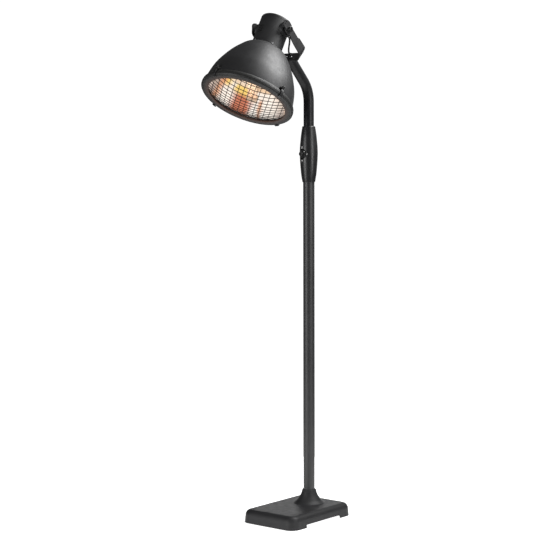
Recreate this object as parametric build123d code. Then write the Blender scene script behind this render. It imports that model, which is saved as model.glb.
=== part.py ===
from build123d import *
import math
import os

os.makedirs("parts", exist_ok=True)

# ---------------------------------------------------------------- dimensions (mm)
POLE_Y = 195.85           # pole axis, measured back from the middle of the footprint
POLE_R, POLE_WALL = 19.0, 1.5        # upper tube
LOWER_R = 21.0                        # lower tube, same wall

BASE_W, BASE_L, BASE_H = 247.5, 353.5, 48.5
BASE_YC = -71.0           # middle of the base, measured from the pole axis
BASE_CORNER, BASE_DRAFT, BASE_TOP_R, BASE_WALL = 38.0, 5.0, 22.0, 3.0
SKIRT_Z = 0.8             # lower edge of the skirt above the floor
GAP_H, GAP_Y0, GAP_Y1 = 12.0, -170.0, 30.0
FOOT_R, FOOT_H = 15.0, 12.0
PLATE_T = 3.0
BALLAST_W, BALLAST_L, BALLAST_H = 198.0, 304.0, 19.5
INLET_Z = 26.0            # height of the supply inlet

LOWER_TOP, UPPER_BOTTOM = 1262.0, 1415.0
HOUSING = [(23.5, 1237.5), (24.9, 1245.0), (26.9, 1257.0), (28.9, 1272.0), (30.3, 1288.0),
           (31.5, 1303.0), (32.4, 1317.0), (33.0, 1332.0), (33.2, 1347.0), (32.7, 1361.0),
           (31.6, 1376.0), (30.2, 1390.0), (28.8, 1405.0), (26.7, 1420.0), (24.5, 1434.0)]
HOUSING_TOP = 1440.0
DIAL_Z, DIAL_YAW = 1339.5, -11.5

BEND_R, BEND_DEG = 105.0, 45.0
PIVOT_Y, PIVOT_Z = -204.5, 1772.9
YOKE_REACH, YOKE_T = 129.0, 4.0
ARM_X, ARM_END, ARM_FLARE, ARM_BEND = 76.5, 39.0, 25.0, 18.0
TUBE_N = 2.5              # tube axis above the line through the pivot

HEAD_TILT = 30.2
RIM_DROP = 282.0          # pivot to rim plane along the head axis
SHADE = [(160.5, 8.0), (157.7, 34.4), (153.6, 55.5), (148.0, 75.7), (135.6, 104.9),
         (116.1, 141.6), (94.2, 172.6), (73.0, 195.0), (61.0, 202.6), (55.0, 204.3)]
SHADE_T = 1.2
NECK_R, NECK_WALL, NECK_TOP = 55.0, 1.5, 322.0
MESH_PITCH, MESH_WIRE, MESH_TURN = 18.1, 2.4, 44.3
MESH_R, MESH_BULGE = 143.0, 34.0     # edge of the dome and how far it bulges out
LAMP_TURN = -54.0
GLAND_TURN = 2.5          # lead gland, turned round the neck from the back
HOOK_TURN = 7.0
LEAD_R = 3.25

S45 = math.sqrt(0.5)


def out(shape, name):
    shape = Pos(0, POLE_Y, 0) * shape
    export_step(shape, "parts/" + name + ".step")


def face_of(*edges):
    return make_face(list(edges))


def ring_of(points):
    pts = [(r, 0, z) for r, z in points]
    return revolve(make_face(Polyline(*pts, close=True)), Axis.Z, 360)


def tube(r_out, r_in, z0, z1):
    return Pos(0, 0, (z0 + z1) / 2) * (Cylinder(r_out, z1 - z0) - Cylinder(r_in, z1 - z0 + 1))


def rod(r, z0, z1):
    return Pos(0, 0, (z0 + z1) / 2) * Cylinder(r, z1 - z0)


def block(x0, x1, y0, y1, z0, z1):
    return Pos((x0 + x1) / 2, (y0 + y1) / 2, (z0 + z1) / 2) * Box(x1 - x0, y1 - y0, z1 - z0)


def rod_x(r, x0, x1, y=0.0, z=0.0):
    return Pos((x0 + x1) / 2, y, z) * (Rot(0, 90, 0) * Cylinder(r, x1 - x0))


def rod_y(r, y0, y1, x=0.0, z=0.0):
    return Pos(x, (y0 + y1) / 2, z) * (Rot(90, 0, 0) * Cylinder(r, y1 - y0))


def hex_prism(across, z0, z1):
    return Pos(0, 0, z0) * extrude(RegularPolygon(across / 2, 6, major_radius=False), z1 - z0)


def group(*shapes):
    return Compound(children=list(shapes))


# local frames: head (z runs from the opening to the neck), tube end (z runs along the tube), dial
HEAD = Location((0, PIVOT_Y, PIVOT_Z), (-HEAD_TILT, 0, 0))
TUBE_Y = PIVOT_Y + (YOKE_REACH + TUBE_N) * S45
TUBE_Z = PIVOT_Z - (YOKE_REACH - TUBE_N) * S45
TEND = Location((0, TUBE_Y, TUBE_Z), (45, 0, 0))
yaw = math.radians(DIAL_YAW)
DIAL = Plane(origin=(0, 0, DIAL_Z), x_dir=(math.cos(yaw), math.sin(yaw), 0),
             z_dir=(math.sin(yaw), -math.cos(yaw), 0)).location


def on_head(shape):
    return HEAD * shape


def at_h(shape):
    return HEAD * (Pos(0, 0, -RIM_DROP) * shape)


# ---------------------------------------------------------------- base
def base_solid(w, l, corner, z0, z1, top_r):
    sk = Pos(0, BASE_YC, z0) * RectangleRounded(w, l, corner)
    body = extrude(sk, amount=z1 - z0, taper=BASE_DRAFT)
    top = body.edges().group_by(Axis.Z)[-1]
    return fillet(top, top_r)


base_outer = base_solid(BASE_W, BASE_L, BASE_CORNER, SKIRT_Z, BASE_H, BASE_TOP_R)
cavity = base_solid(BASE_W - 2 * BASE_WALL, BASE_L - 2 * BASE_WALL, BASE_CORNER - BASE_WALL,
                    SKIRT_Z, BASE_H - BASE_WALL, BASE_TOP_R - BASE_WALL)
cover = base_outer - cavity
cover = cover - block(-16, 16, 88, 112, -4, 40)             # slot for the inlet plate
cover = cover - rod(LOWER_R + 1.0, 40, 60)
for sx in (-1, 1):
    notch = block(sx * 123 - 14, sx * 123 + 14, GAP_Y0, GAP_Y1, -4, GAP_H)
    notch = fillet(notch.edges().filter_by(Axis.X).group_by(Axis.Z)[-1], 1.5)
    cover = cover - notch
edge_zone = block(-200, 200, -400, 200, -5, GAP_H)
edge = cover & edge_zone
cover = cover - edge_zone
boss_xy = [(sx * 108.0, BASE_YC + dy) for sx in (-1, 1) for dy in (-118.0, 0.0, 118.0)]
plate_z0, plate_z1 = FOOT_H, FOOT_H + PLATE_T
for x, y in boss_xy:
    boss = (Pos(x, y, 0) * rod(5.0, plate_z1, BASE_H)) & base_outer
    cover = cover + (boss - Pos(x, y, 0) * rod(1.7, plate_z1 - 1, 34))
out(cover, "base_cover")

# edge strips under the cover, front and back, each with a lip that goes up inside it
LIP_T, LIP_TOP = 1.5, 19.0


def inside(d):
    w = BASE_WALL + d
    return base_solid(BASE_W - 2 * w, BASE_L - 2 * w, BASE_CORNER - w, SKIRT_Z, BASE_H - w, BASE_TOP_R - w)


lip = (inside(-0.05) - inside(LIP_T)) & block(-200, 200, -400, 200, 4.0, GAP_H)
lip = lip + ((inside(0.15) - inside(LIP_T)) & block(-200, 200, -400, 200, GAP_H - 0.05, LIP_TOP))
lip = lip - block(-17, 17, 80, 120, -5, 40) - block(-200, 200, GAP_Y0 - 1.0, GAP_Y1 + 1.0, -5, 40)
front_edge = (edge & block(-200, 200, -400, -100, -5, 40)) + (lip & block(-200, 200, -400, -100, -5, 40))
out(front_edge, "front_skirt")
rear_edges = []
for x0, x1 in ((-200, 0), (0, 200)):
    side_box = block(x0, x1, 0, 200, -5, 40)
    rear_edges.append((edge & side_box) + (lip & side_box))
out(group(*rear_edges), "rear_skirts")

# plate in the back of the skirt that carries the supply gland
inlet = block(-15.8, 15.8, 92.0, 101.5, plate_z1 + 0.4, 39.8) + block(-15.8, 15.8, 99.5, 101.5, SKIRT_Z + 0.4, 20)
inlet = inlet & base_outer
inlet = inlet + block(-20, 20, 94.8, 97.6, plate_z1 + 1.0, 30)
inlet = inlet - rod_y(6.2, 88, 112, 0, INLET_Z)
out(inlet, "inlet_plate")

plate = Pos(0, BASE_YC, plate_z0) * extrude(RectangleRounded(234.0, 340.0, 33.0), PLATE_T)
for x, y in boss_xy:
    plate = plate - Pos(x, y, 0) * rod(2.2, 5, 20)
foot_xy = [(sx * 92.0, BASE_YC + sy * 144.0) for sx in (-1, 1) for sy in (-1, 1)]
for x, y in foot_xy:
    plate = plate - Pos(x, y, 0) * rod(3.6, 5, 20)
out(plate, "base_plate")

screws = []
for x, y in boss_xy:
    s = rod(1.6, plate_z0, 26) + fillet(rod(4.2, plate_z0 - 2.4, plate_z0).edges().group_by(Axis.Z)[0], 1.2)
    s = s - block(-2.6, 2.6, -0.45, 0.45, plate_z0 - 3, plate_z0 - 1.5) - block(-0.45, 0.45, -2.6, 2.6, plate_z0 - 3, plate_z0 - 1.5)
    screws.append(Pos(x, y, 0) * s)
out(group(*screws), "base_plate_screws")

feet = []
for x, y in foot_xy:
    f = rod(FOOT_R, 0, FOOT_H)
    f = chamfer(f.edges().group_by(Axis.Z)[0], 1.0)
    f = f + rod(3.5, FOOT_H, plate_z1) + rod(5.0, plate_z1, plate_z1 + 2.5)
    feet.append(Pos(x, y, 0) * f)
out(group(*feet), "rubber_feet")

bz0, bz1 = plate_z1, plate_z1 + BALLAST_H
ballast = Pos(0, BASE_YC, bz0) * extrude(RectangleRounded(BALLAST_W, BALLAST_L, 22.0), BALLAST_H)
ballast = chamfer(ballast.edges().group_by(Axis.Z)[-1], 2.5)
for x, y in foot_xy:
    ballast = ballast - Pos(x, y, 0) * rod(8.0, 10, 50)
ballast = ballast - block(-24, 24, 48, 90, 10, 50)          # bay for the supply terminals
ballast = ballast - block(40, 90, 20, 66, 10, 50)           # bay for the tilt switch
socket_xy = [(44 * math.cos(math.radians(a)), 44 * math.sin(math.radians(a))) for a in (135, 225, 315, 45)]
socket_xy = [(x * 0.84, y * 0.84) for x, y in socket_xy]
ballast = ballast - rod(13.0, 10, 50)
for x, y in socket_xy:
    ballast = ballast - Pos(x, y, 0) * rod(4.1, bz1 - 18, 50)
out(ballast, "ballast_block")

fl0, fl1 = bz1, bz1 + 5.0
socket_r = LOWER_R - POLE_WALL - 0.1
socket = rod(46.0, fl0, fl1) + rod(socket_r, fl1, 150)
socket = socket - rod(13.0, 10, 160)
for x, y in socket_xy:
    socket = socket - Pos(x, y, 0) * rod(4.3, fl0 - 1, fl1 + 1)
socket = socket - rod_y(3.05, 10, 30, 0, 74)
out(socket, "pole_socket")
bolts = [Pos(x, y, 0) * (rod(4.0, bz1 - 16, fl1) + hex_prism(12.0, fl1, fl1 + 4.6)) for x, y in socket_xy]
out(group(*bolts), "socket_bolts")

term = block(-20, 20, 58, 76, plate_z1, plate_z1 + 15)
for i in (-1, 0, 1):
    term = term - Pos(i * 12.5, 67, 0) * rod(3.0, plate_z1 + 8, 60) - rod_y(2.0, 50, 80, i * 12.5, plate_z1 + 6)
out(term, "supply_terminals")
tilt = block(50, 80, 30, 52, plate_z1, plate_z1 + 18)
tilt = fillet(tilt.edges().filter_by(Axis.Z), 3.0)
tilt = tilt + block(44, 86, 36, 46, plate_z1, plate_z1 + 2.5)
tilt = tilt - Pos(47, 41, 0) * rod(1.8, 10, 20) - Pos(83, 41, 0) * rod(1.8, 10, 20)
out(tilt, "tilt_switch")

gland = rod_y(6.0, 84, 102, 0, INLET_Z) + rod_y(10.0, 101.6, 104.6, 0, INLET_Z)
gland = gland + Pos(0, 92.0, INLET_Z) * (Rot(90, 0, 0) * hex_prism(18.0, 0.1, 5.0))
gland = gland - rod_y(4.0, 80, 112, 0, INLET_Z)
out(gland, "supply_gland")

# flared foot cover around the pole
COLLAR = [(60.0, 48.7), (52.5, 52.4), (45.0, 58.6), (39.4, 66.0), (34.4, 73.5), (30.4, 81.0), (27.6, 89.5), (26.0, 96.8)]
COLLAR_IN = [(56.5, 48.7), (50.6, 50.8), (42.8, 57.0), (37.0, 64.8), (32.0, 72.3), (28.0, 79.8), (25.2, 88.6), (24.2, 93.6)]
flare_out = Spline(*[(r, 0, z) for r, z in COLLAR], tangents=[(-1, 0, 0.2), (-0.2, 0, 1)])
flare_in = Spline(*[(r, 0, z) for r, z in COLLAR_IN])
bore = LOWER_R + 1.0
collar = revolve(face_of(flare_out, Line((60.0, 0, 48.7), (56.5, 0, 48.7)), flare_in,
                         Polyline((24.2, 0, 93.6), (bore, 0, 93.6), (bore, 0, 98.6), (25.0, 0, 98.6), (26.0, 0, 96.8))), Axis.Z, 360)
out(collar, "collar_cover")

# ---------------------------------------------------------------- pole and switch housing
lower = tube(LOWER_R, LOWER_R - POLE_WALL, fl1 + 0.1, LOWER_TOP)
lower = lower - rod_y(3.1, 10, 30, 0, 74)
for sx in (-1, 1):
    lower = lower - rod_x(3.1, sx * 23.5 - 7, sx * 23.5 + 7, 0, 1248)
out(lower, "lower_pole")

joiner = rod(socket_r, LOWER_TOP - 45, LOWER_TOP) + rod(LOWER_R - 0.4, LOWER_TOP + 0.1, LOWER_TOP + 5)
joiner = joiner + rod(socket_r, LOWER_TOP - 1, LOWER_TOP + 2)
joiner = joiner + rod(17.4, UPPER_BOTTOM - 2, UPPER_BOTTOM + 45) + rod(18.6, UPPER_BOTTOM - 5, UPPER_BOTTOM - 0.1)
joiner = joiner - rod(12.5, LOWER_TOP - 60, UPPER_BOTTOM + 60)
bar = block(-13, 13, 10.5, 16.5, LOWER_TOP + 1, UPPER_BOTTOM - 1)
bar = bar & rod(18.6, 1200, 1500)
joiner = joiner + bar
for z in (1306.0, 1374.0):
    joiner = joiner - rod_y(2.05, 5, 30, 0, z)
for sx in (-1, 1):
    for z in (1248.0, 1428.0):
        joiner = joiner - rod_x(3.05, min(sx * 8, sx * 25), max(sx * 8, sx * 25), 0, z)
out(joiner, "pole_joiner")
# five M6 x 6 grub screws: one locks the lower pole to its socket, four lock both tubes to the joiner
grubs = [rod_y(3.0, LOWER_R - 6.2, LOWER_R - 0.2, 0, 74)]
for sx in (-1, 1):
    for z in (1248.0, 1428.0):
        tip = LOWER_R - 0.2 if z < LOWER_TOP else POLE_R - 0.2
        grubs.append(rod_x(3.0, min(sx * (tip - 6), sx * tip), max(sx * (tip - 6), sx * tip), 0, z))
out(group(*grubs), "grub_screws")

prof = [(r, 0, z) for r, z in HOUSING]
h_out = Spline(*prof)
wall = 2.6
inner = [(r - wall, 0, z) for r, z in HOUSING if 1250 < z < 1424]
h_in = Spline(*inner)
shell_face = face_of(h_out,
                     Polyline(prof[0], (23.0, 0, 1236.6), (LOWER_R + 0.35, 0, 1236.6), (LOWER_R + 0.35, 0, 1247.0), inner[0]),
                     h_in,
                     Polyline(inner[-1], (19.35, 0, 1424.0), (19.35, 0, HOUSING_TOP), (22.9, 0, HOUSING_TOP),
                              (23.9, 0, 1438.6), prof[-1]))
housing = revolve(shell_face, Axis.Z, 360)


def housing_r(z):
    for (r0, z0), (r1, z1) in zip(HOUSING, HOUSING[1:]):
        if z0 <= z <= z1:
            return r0 + (r1 - r0) * (z - z0) / (z1 - z0)


for z in (1432.5, 1424.5, 1417.0, 1411.0):
    housing = housing - tube(housing_r(z) + 2, housing_r(z) - 0.45, z - 0.6, z + 0.6)
opening = fillet(block(-19, 19, 12, 45, 1288, 1394).edges().filter_by(Axis.Y), 8.0)
panel_cut = fillet(block(-18.6, 18.6, 12, 45, 1288.4, 1393.6).edges().filter_by(Axis.Y), 7.6)
panel = housing & panel_cut
housing = housing - opening - (DIAL * rod(19.0, 5, 60))
out(housing, "switch_housing")
for z in (1306.0, 1374.0):
    panel = panel + rod_y(5.0, 16.7, 29.2, 0, z)
for z in (1306.0, 1374.0):
    panel = panel - rod_y(2.15, 10, 40, 0, z) - rod_y(3.9, 28.4, 40, 0, z)
out(panel, "housing_panel")
pscrews = []
for z in (1306.0, 1374.0):
    s = rod_y(2.0, 12.0, 28.4, 0, z) + rod_y(3.6, 28.4, 30.6, 0, z)
    s = s - block(-2.4, 2.4, 29.8, 31, z - 0.4, z + 0.4) - block(-0.4, 0.4, 29.8, 31, z - 2.4, z + 2.4)
    pscrews.append(s)
out(group(*pscrews), "panel_screws")

dial = rod(18.7, 23.4, 25.6) - rod(5.0, 20, 30)
for sx in (-1, 1):
    dial = dial - Pos(sx * 10, 0, 0) * rod(1.7, 20, 30)
out(DIAL * dial, "switch_dial")
switch = block(-12.5, 12.5, -12.5, 12.5, -7, 23.2)
switch = fillet(switch.edges().filter_by(Axis.Z), 2.0)
switch = switch + rod(4.6, 23, 26.2)
switch = switch - rod(3.05, 4, 40)
for sx in (-1, 1):
    switch = switch - Pos(sx * 10, 0, 0) * rod(1.35, 12, 30)
for i in (-1, 0, 1):
    switch = switch + block(i * 7 - 2.4, i * 7 + 2.4, -17.5, -12.0, -3.0, -2.2) + block(i * 7 - 2.4, i * 7 + 2.4, 12.0, 17.5, -3.0, -2.2)
out(DIAL * switch, "rotary_switch")
dscrews = []
for sx in (-1, 1):
    dscrews.append(Pos(sx * 10, 0, 0) * (rod(1.3, 14, 25.6) + rod(2.6, 25.6, 26.4)))
out(group(*[DIAL * s for s in dscrews]), "switch_screws")

knob = rod(16.5, 26.9, 30.6)
knob = fillet(knob.edges().group_by(Axis.Z)[-1], 1.2)
grip = Pos(0, 0, 30.2) * extrude(Circle(8.8), 11.0, taper=4)
grip = fillet(grip.edges().group_by(Axis.Z)[-1], 1.6)
for q in range(10):
    grip = grip - Rot(0, 0, 36.0 * q) * (Pos(9.5, 0, 0) * rod(1.5, 31.6, 45))
knob = knob + grip
knob = knob - rod(3.02, 20, 39)
out(DIAL * knob, "control_knob")
out(DIAL * rod(3.0, 8, 38.5), "knob_shaft")

# upper pole: vertical, one bend, straight to the yoke
arc_y = -BEND_R * (1 - math.cos(math.radians(BEND_DEG)))
BEND_Z = TUBE_Z + TUBE_Y - arc_y - BEND_R * math.sin(math.radians(BEND_DEG))   # the slope then ends at the yoke
arc_z = BEND_Z + BEND_R * math.sin(math.radians(BEND_DEG))
p0, p1, p2, p3 = (0, 0, UPPER_BOTTOM), (0, 0, BEND_Z), (0, arc_y, arc_z), (0, TUBE_Y, TUBE_Z)
mid = math.radians(BEND_DEG / 2)
pm = (0, -BEND_R * (1 - math.cos(mid)), BEND_Z + BEND_R * math.sin(mid))
path = Wire([Edge.make_line(p0, p1), Edge.make_three_point_arc(p1, pm, p2), Edge.make_line(p2, p3)])
upper = sweep(Pos(0, 0, UPPER_BOTTOM) * Circle(POLE_R), path=path) - \
    sweep(Pos(0, 0, UPPER_BOTTOM) * Circle(POLE_R - POLE_WALL), path=path)
for sx in (-1, 1):
    upper = upper - rod_x(3.1, sx * 23.5 - 7, sx * 23.5 + 7, 0, 1428)
out(upper, "upper_pole")

LEAD_N = 10.0             # lead hole, measured up the web from its middle
YOKE_BOLT = [(-11.0, -4.0), (11.0, -4.0)]
plug = rod(17.35, -34, -0.1)
plug = plug - Pos(0, LEAD_N, 0) * rod(5.3, -40, 5)
for x, y in YOKE_BOLT:
    plug = plug - Pos(x, y, 0) * rod(3.05, -24, 5)
out(TEND * plug, "tube_end_plug")

# yoke: one bent strap, narrower at the pivots
fl = ARM_FLARE
top_t = YOKE_REACH + ARM_END
o = ARM_X
i = ARM_X - YOKE_T
k = YOKE_T * math.tan(math.radians(22.5))
outer = [(-o, top_t), (-o, fl), (-o + fl, 0), (o - fl, 0), (o, fl), (o, top_t)]
innr = [(-i, top_t), (-i, fl + k), (-o + fl + k, YOKE_T), (o - fl - k, YOKE_T), (i, fl + k), (i, top_t)]
outer_line = FilletPolyline(*[(x, 0, t) for x, t in outer], radius=ARM_BEND)
inner_line = FilletPolyline(*[(x, 0, t) for x, t in innr], radius=ARM_BEND - YOKE_T)
strap_face = make_face(list(outer_line.edges()) + list(inner_line.edges()) +
                       [Line((-o, 0, top_t), (-i, 0, top_t)), Line((o, 0, top_t), (i, 0, top_t))])
strap = extrude(strap_face, amount=24.0, dir=(0, 1, 0), both=True)
r = YOKE_REACH
side = [(-22, -5), (19.5, -5), (17.0, r - 62), (16.1, r - 59), (12.1, r - 53), (11.3, r - 50), (11.3, r - 6), (12.1, r - 3), (15.3, r + 3), (16.0, r + 7),
        (16.0, r + 18), (14.4, r + 25), (11.0, r + 31.5), (6.0, r + 36), (0.5, r + 38.4), (-5.5, top_t), (-11.0, r + 37.2), (-15.0, r + 33), (-16.5, r + 27),
        (-16.5, r - 12), (-20.5, r - 38), (-22.0, r - 58)]
side = make_face(Polyline(*[(0, n, t) for n, t in side], close=True))
side = extrude(side, amount=120, dir=(1, 0, 0), both=True)
yoke = strap & side
for x, y in YOKE_BOLT:
    yoke = yoke - Pos(x, y, 0) * rod(3.3, -5, 10)
yoke = yoke - Pos(0, LEAD_N, 0) * rod(6.0, -5, 10)
yoke = yoke - rod_x(4.05, -100, 100, -TUBE_N, YOKE_REACH)
for y, t in ((-6.5, top_t - 8.0), (2.5, top_t - 8.0)):
    yoke = yoke - rod_x(2.0, 0, 100, y, t)
yoke = TEND * yoke
# the left arm ends shorter, under the hand knob
keep = block(-110, -50, PIVOT_Y - 25, PIVOT_Y + 8, PIVOT_Z - 80, PIVOT_Z + 29)
keep = fillet(keep.edges().filter_by(Axis.X).group_by(Axis.Z)[-1], 12.0)
keep = keep + block(-110, -50, PIVOT_Y - 25, PIVOT_Y + 70, PIVOT_Z - 80, PIVOT_Z + 9)
yoke = yoke - (block(-100, -60, PIVOT_Y - 120, PIVOT_Y + 45, PIVOT_Z - 30, PIVOT_Z + 90) - keep)
out(yoke, "yoke")
yb = [Pos(x, y, 0) * (rod(3.0, -20, YOKE_T) + fillet(rod(5.2, YOKE_T, YOKE_T + 3.4).edges().group_by(Axis.Z)[-1], 1.4)
                      - hex_prism(4.0, YOKE_T + 1.2, YOKE_T + 5)) for x, y in YOKE_BOLT]
out(group(*[TEND * b for b in yb]), "yoke_bolts")
grom = Pos(0, LEAD_N, 0) * (rod(5.9, 0.1, YOKE_T) + rod(8.0, YOKE_T, YOKE_T + 2.6) - rod(LEAD_R + 0.1, -5, 10))
out(TEND * grom, "lead_grommet")

# lead from the tube end to the back of the neck
tilt_r = math.radians(HEAD_TILT)
uy, uz = math.sin(tilt_r), math.cos(tilt_r)
wy, wz = uz, -uy
GLAND_Z = 27.0


def hp(back, along):
    off = back * math.sin(math.radians(GLAND_TURN))
    back = back * math.cos(math.radians(GLAND_TURN))
    return (off, PIVOT_Y + back * wy + along * uy, PIVOT_Z + back * wz + along * uz)


def tp(n, t):
    return (0, TUBE_Y + n * S45 - t * S45, TUBE_Z + n * S45 + t * S45)


LEAD_BEND = 20.0
lead_pts = [tp(LEAD_N, -22), tp(LEAD_N, 20), hp(91, GLAND_Z), hp(44, GLAND_Z)]
lead_path = FilletPolyline(*lead_pts, radius=LEAD_BEND)
print("lead length", lead_path.length, "bend radius", LEAD_BEND)
lead_start = Plane(origin=lead_pts[0], z_dir=(0, -S45, S45))
lead = sweep(lead_start * Circle(LEAD_R), path=lead_path)
out(lead, "head_lead")

# ---------------------------------------------------------------- head
def offset_profile(points, d):
    res = []
    n = len(points)
    for q in range(n):
        a = points[max(q - 1, 0)]
        b = points[min(q + 1, n - 1)]
        tx, tz = b[0] - a[0], b[1] - a[1]
        ln = math.hypot(tx, tz)
        res.append((points[q][0] - d * tz / ln, points[q][1] + d * tx / ln))
    return res


inn = offset_profile(SHADE, SHADE_T)
cr_o = NECK_R - NECK_WALL - 0.2
cr_i = cr_o - SHADE_T
inn[-1] = (cr_i, SHADE[-1][1] - SHADE_T)
inn[-2] = (60.4, SHADE[-2][1] - SHADE_T)
s_out = Spline(*[(r, 0, z) for r, z in SHADE], tangents=[(-0.05, 0, 1), (-1, 0, 0.05)])
s_in = Spline(*[(r, 0, z) for r, z in inn])
collar_top = 222.0
shade_face = face_of(s_out,
                     Polyline((SHADE[-1][0], 0, SHADE[-1][1]), (cr_o, 0, SHADE[-1][1]), (cr_o, 0, collar_top),
                              (cr_i, 0, collar_top), (inn[-1][0], 0, inn[-1][1])),
                     s_in, Line((inn[0][0], 0, inn[0][1]), (SHADE[0][0], 0, SHADE[0][1])))
shade = revolve(shade_face, Axis.Z, 360)
shade_core = revolve(face_of(s_out, Polyline((SHADE[-1][0], 0, SHADE[-1][1]), (0, 0, SHADE[-1][1]), (0, 0, SHADE[0][1]),
                                             (SHADE[0][0], 0, SHADE[0][1]))), Axis.Z, 360)
NSCREW_H = 208.5
nscrew_a = [-(-42.0 + 72.0 * q) for q in range(5)]
for a in nscrew_a:
    shade = shade - Rot(0, 0, a) * rod_x(2.0, 44, 60, 0, NSCREW_H)
out(at_h(shade), "shade")

neck = rod(NECK_R, SHADE[-1][1] + 0.2, NECK_TOP)
neck = fillet(neck.edges().group_by(Axis.Z)[-1], 6.0)
core = rod(NECK_R - NECK_WALL, SHADE[-1][1] - 5, NECK_TOP - 2.0)
core = fillet(core.edges().group_by(Axis.Z)[-1], 4.5)
neck = neck - core
neck = neck - tube(NECK_R + 3, NECK_R - 0.5, NECK_TOP - 13.0, NECK_TOP - 12.0)
for a in nscrew_a:
    neck = neck - Rot(0, 0, a) * rod_x(2.05, 44, 60, 0, NSCREW_H)
neck = neck - rod_x(4.3, -60, 60, 0, RIM_DROP)
neck = neck - Rot(0, 0, -GLAND_TURN) * rod_y(8.15, 40, 60, 0, RIM_DROP + GLAND_Z)
for q in range(4):
    neck = neck - Rot(0, 0, -97.0) * block(NECK_R - 4, NECK_R + 4, -11, 11, RIM_DROP - 39.2 + q * 8.0, RIM_DROP - 36.8 + q * 8.0)
out(at_h(neck), "neck")

nscrews = []
for a in nscrew_a:
    s = rod_x(1.9, 46, NECK_R, 0, NSCREW_H) + rod_x(3.2, NECK_R - 0.1, NECK_R + 1.8, 0, NSCREW_H)
    s = s - block(NECK_R + 0.9, NECK_R + 3, -2.2, 2.2, NSCREW_H - 0.4, NSCREW_H + 0.4)
    nscrews.append(Rot(0, 0, a) * s)
neck_clear = rod(NECK_R, NSCREW_H - 8, NSCREW_H + 8) - rod(NECK_R - NECK_WALL, NSCREW_H - 9, NSCREW_H + 9)
for q, a in enumerate(nscrew_a):
    neck_clear = neck_clear - Rot(0, 0, a) * rod_x(2.04, 44, 60, 0, NSCREW_H)
nscrews = [s - neck_clear for s in nscrews]
out(group(*[at_h(s) for s in nscrews]), "neck_screws")

ngl = rod_y(8.0, 44, 59, 0, 0) + rod_y(10.0, NECK_R + 0.2, NECK_R + 3.5, 0, 0)
ngl = ngl + Pos(0, 65.5, 0) * (Rot(90, 0, 0) * hex_prism(16.0, 0, 7.2)) + rod_y(6.6, 64, 70.0, 0, 0)
ngl = ngl + Pos(0, 50.0, 0) * (Rot(90, 0, 0) * hex_prism(17.0, 0, 4.5))
ngl = ngl - rod_y(LEAD_R + 0.1, 30, 90, 0, 0)
out(on_head(Rot(0, 0, -GLAND_TURN) * (Pos(0, 0, GLAND_Z) * ngl)), "neck_gland")

ax_in = ARM_X - YOKE_T
BOSS_R, BOSS_X, BOSS_NOSE = 27.0, 61.5, 15.0
bosses, nuts, washers, outer_washers = [], [], [], []
for sx in (-1, 1):
    b = rod_x(BOSS_R, 40, BOSS_X) + rod_x(BOSS_NOSE, BOSS_X - 1, ax_in - 2.6) - rod(NECK_R + 0.05, -60, 60)
    b = b - rod_x(4.3, 30, 80)
    n = (block(41, 54.5, -12, 12, -12, 12) & rod(NECK_R - NECK_WALL - 0.05, -40, 40)) - rod_x(4.05, 30, 80)
    f = rod_x(BOSS_NOSE, ax_in - 2.5, ax_in - 0.4) - rod_x(4.3, 30, 80)
    w = rod_x(11.5 if sx > 0 else 23.5, ARM_X + 0.4, ARM_X + 2.0) - rod_x(4.08, 30, 90)
    turn = Rot(0, 0, 0) if sx > 0 else Rot(0, 0, 180)
    bosses.append(turn * b)
    nuts.append(turn * n)
    washers.append(turn * f)
    outer_washers.append(turn * w)
out(group(*[on_head(s) for s in bosses]), "pivot_bosses")
out(group(*[on_head(s) for s in nuts]), "pivot_nut_plates")
out(group(*[on_head(s) for s in washers]), "friction_washers")
out(group(*[on_head(s) for s in outer_washers]), "pivot_washers")
# right side: button-head bolt
cap = fillet(rod(10.4, 0, 6.2).edges().group_by(Axis.Z)[-1], 3.4) - hex_prism(6.0, 3.0, 10)
bolt = Pos(ARM_X + 2.1, 0, 0) * (Rot(0, 90, 0) * cap) + rod_x(4.0, 42.0, ARM_X + 2.2)
out(on_head(bolt), "pivot_bolt")
# left side: hand knob on a stud, which clamps the tilt
GRIP_R, GRIP_X0, GRIP_X1 = 13.0, ARM_X + 3.6, ARM_X + 12.4
stud = rod_x(4.0, 42.0, ARM_X + 9.5)
grip = rod(GRIP_R, GRIP_X0, GRIP_X1)
for q in range(6):
    grip = grip - Rot(0, 0, 60.0 * q) * (Pos(GRIP_R + 3.2, 0, 0) * rod(5.0, GRIP_X0 - 1, GRIP_X1 + 1))
grip = fillet(grip.edges().group_by(Axis.Z)[-1], 1.6)
grip = grip + rod(8.5, ARM_X + 2.4, GRIP_X0 + 1)
grip = grip - rod(4.02, ARM_X, ARM_X + 9.7)
left = Rot(0, 0, 180)
out(on_head(left * stud), "tilt_stud")
out(on_head(left * (Rot(0, 90, 0) * grip)), "tilt_knob")

tplate = rod(51.0, collar_top + 0.2, collar_top + 1.7) - rod(12.0, collar_top - 5, collar_top + 5)
out(at_h(tplate), "terminal_plate")
tb0 = collar_top + 1.8
tblk = block(-24, 24, 16, 34, tb0, tb0 + 17)
for q in (-1, 0, 1):
    tblk = tblk - Pos(q * 15, 25, 0) * rod(3.2, tb0 + 9, tb0 + 30) - rod_y(2.2, 10, 40, q * 15, tb0 + 6)
out(at_h(tblk), "terminal_block")
cut = Pos(0, -28, 0) * (rod(8.5, tb0, tb0 + 5) + rod(7.0, tb0 + 5, tb0 + 11)) + block(-2.5, 2.5, -38.5, -34, tb0 + 6, tb0 + 7) \
    + block(-2.5, 2.5, -22, -17.5, tb0 + 6, tb0 + 7)
out(at_h(cut), "thermal_cutout")

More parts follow.
